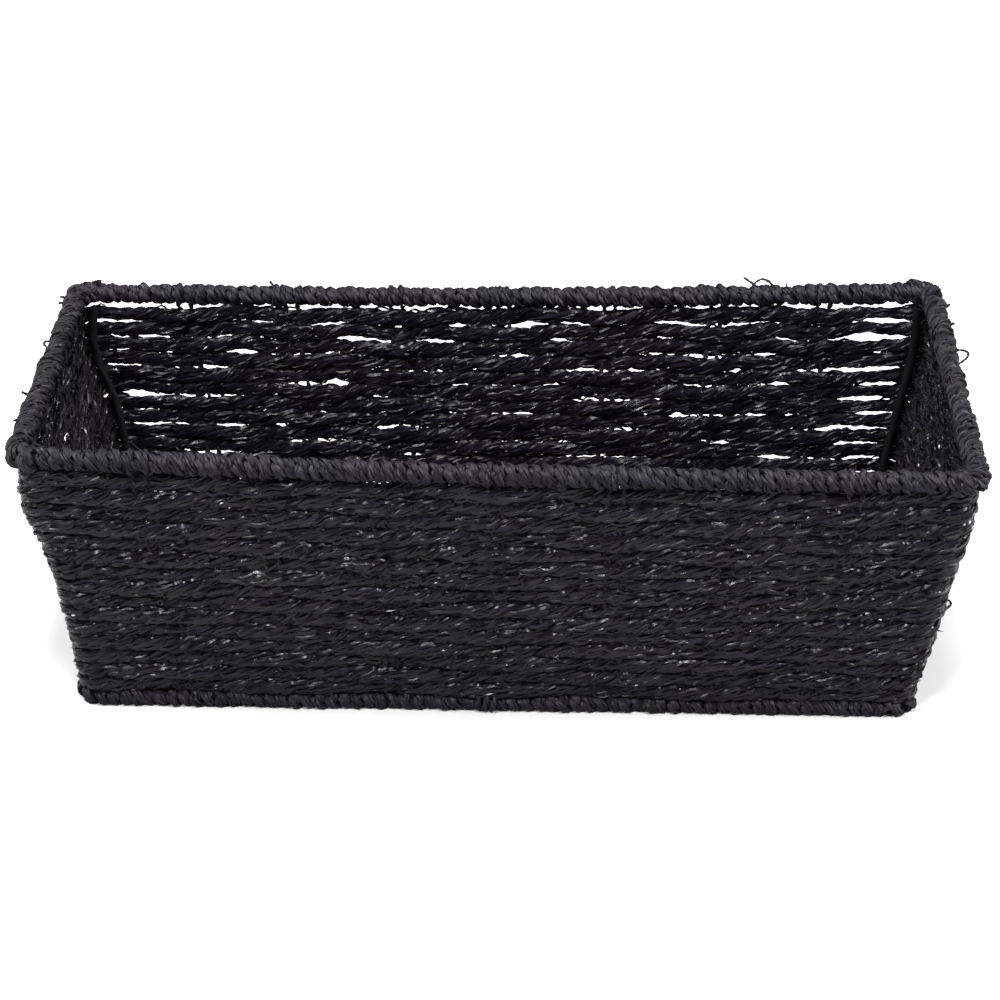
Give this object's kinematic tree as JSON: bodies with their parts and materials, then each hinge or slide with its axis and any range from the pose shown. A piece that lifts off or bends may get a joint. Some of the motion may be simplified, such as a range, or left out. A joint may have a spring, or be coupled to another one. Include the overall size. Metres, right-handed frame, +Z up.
{
  "type": "seagrass storage basket",
  "caption": "Open rectangular storage basket with flared walls of black twisted seagrass rope woven round upright stakes, on a cord-wrapped steel wire frame.",
  "frame": {"origin": "on the ground under the middle of the basket's footprint", "axes": "+X along the long side, +Y towards the back wall, +Z up out of the open top"},
  "size_m": [0.4014, 0.1916, 0.1254],
  "materials": {
    "seagrass_rope": "dull black dyed grass rope with faint sheen on the strands",
    "wrapping_cord": "matte black dyed grass cord",
    "steel_wire": "black painted wire"
  },
  "bodies": {
    "root": {"base_mat": "seagrass_rope", "corner_post_back_left": "steel_wire", "corner_post_front_right": "steel_wire", "corner_post_left_front": "steel_wire", "corner_post_right_back": "steel_wire", "foot_corner_wrap_back_left": "wrapping_cord", "foot_corner_wrap_front_right": "wrapping_cord", "foot_corner_wrap_left_front": "wrapping_cord", "foot_corner_wrap_right_back": "wrapping_cord", "foot_wire": "steel_wire", "foot_wrap_back": "wrapping_cord", "foot_wrap_front": "wrapping_cord", "foot_wrap_left": "wrapping_cord", "foot_wrap_right": "wrapping_cord", "rim_corner_wrap_back_left": "wrapping_cord", "rim_corner_wrap_front_right": "wrapping_cord", "rim_corner_wrap_left_front": "wrapping_cord", "rim_corner_wrap_right_back": "wrapping_cord", "rim_wire": "steel_wire", "rim_wrap_back": "wrapping_cord", "rim_wrap_front": "wrapping_cord", "rim_wrap_left": "wrapping_cord", "rim_wrap_right": "wrapping_cord", "stake_back_1": "wrapping_cord", "stake_back_2": "wrapping_cord", "stake_back_3": "wrapping_cord", "stake_back_4": "wrapping_cord", "stake_back_5": "wrapping_cord", "stake_back_6": "wrapping_cord", "stake_back_7": "wrapping_cord", "stake_front_1": "wrapping_cord", "stake_front_2": "wrapping_cord", "stake_front_3": "wrapping_cord", "stake_front_4": "wrapping_cord", "stake_front_5": "wrapping_cord", "stake_front_6": "wrapping_cord", "stake_front_7": "wrapping_cord", "stake_left_1": "wrapping_cord", "stake_left_2": "wrapping_cord", "stake_left_3": "wrapping_cord", "stake_right_1": "wrapping_cord", "stake_right_2": "wrapping_cord", "stake_right_3": "wrapping_cord", "weft_row_01": "seagrass_rope", "weft_row_02": "seagrass_rope", "weft_row_03": "seagrass_rope", "weft_row_04": "seagrass_rope", "weft_row_05": "seagrass_rope", "weft_row_06": "seagrass_rope", "weft_row_07": "seagrass_rope", "weft_row_08": "seagrass_rope", "weft_row_09": "seagrass_rope", "weft_row_10": "seagrass_rope", "weft_row_11": "seagrass_rope", "weft_row_12": "seagrass_rope", "weft_row_13": "seagrass_rope", "weft_row_14": "seagrass_rope", "weft_row_15": "seagrass_rope"}
  },
  "joints": []
}
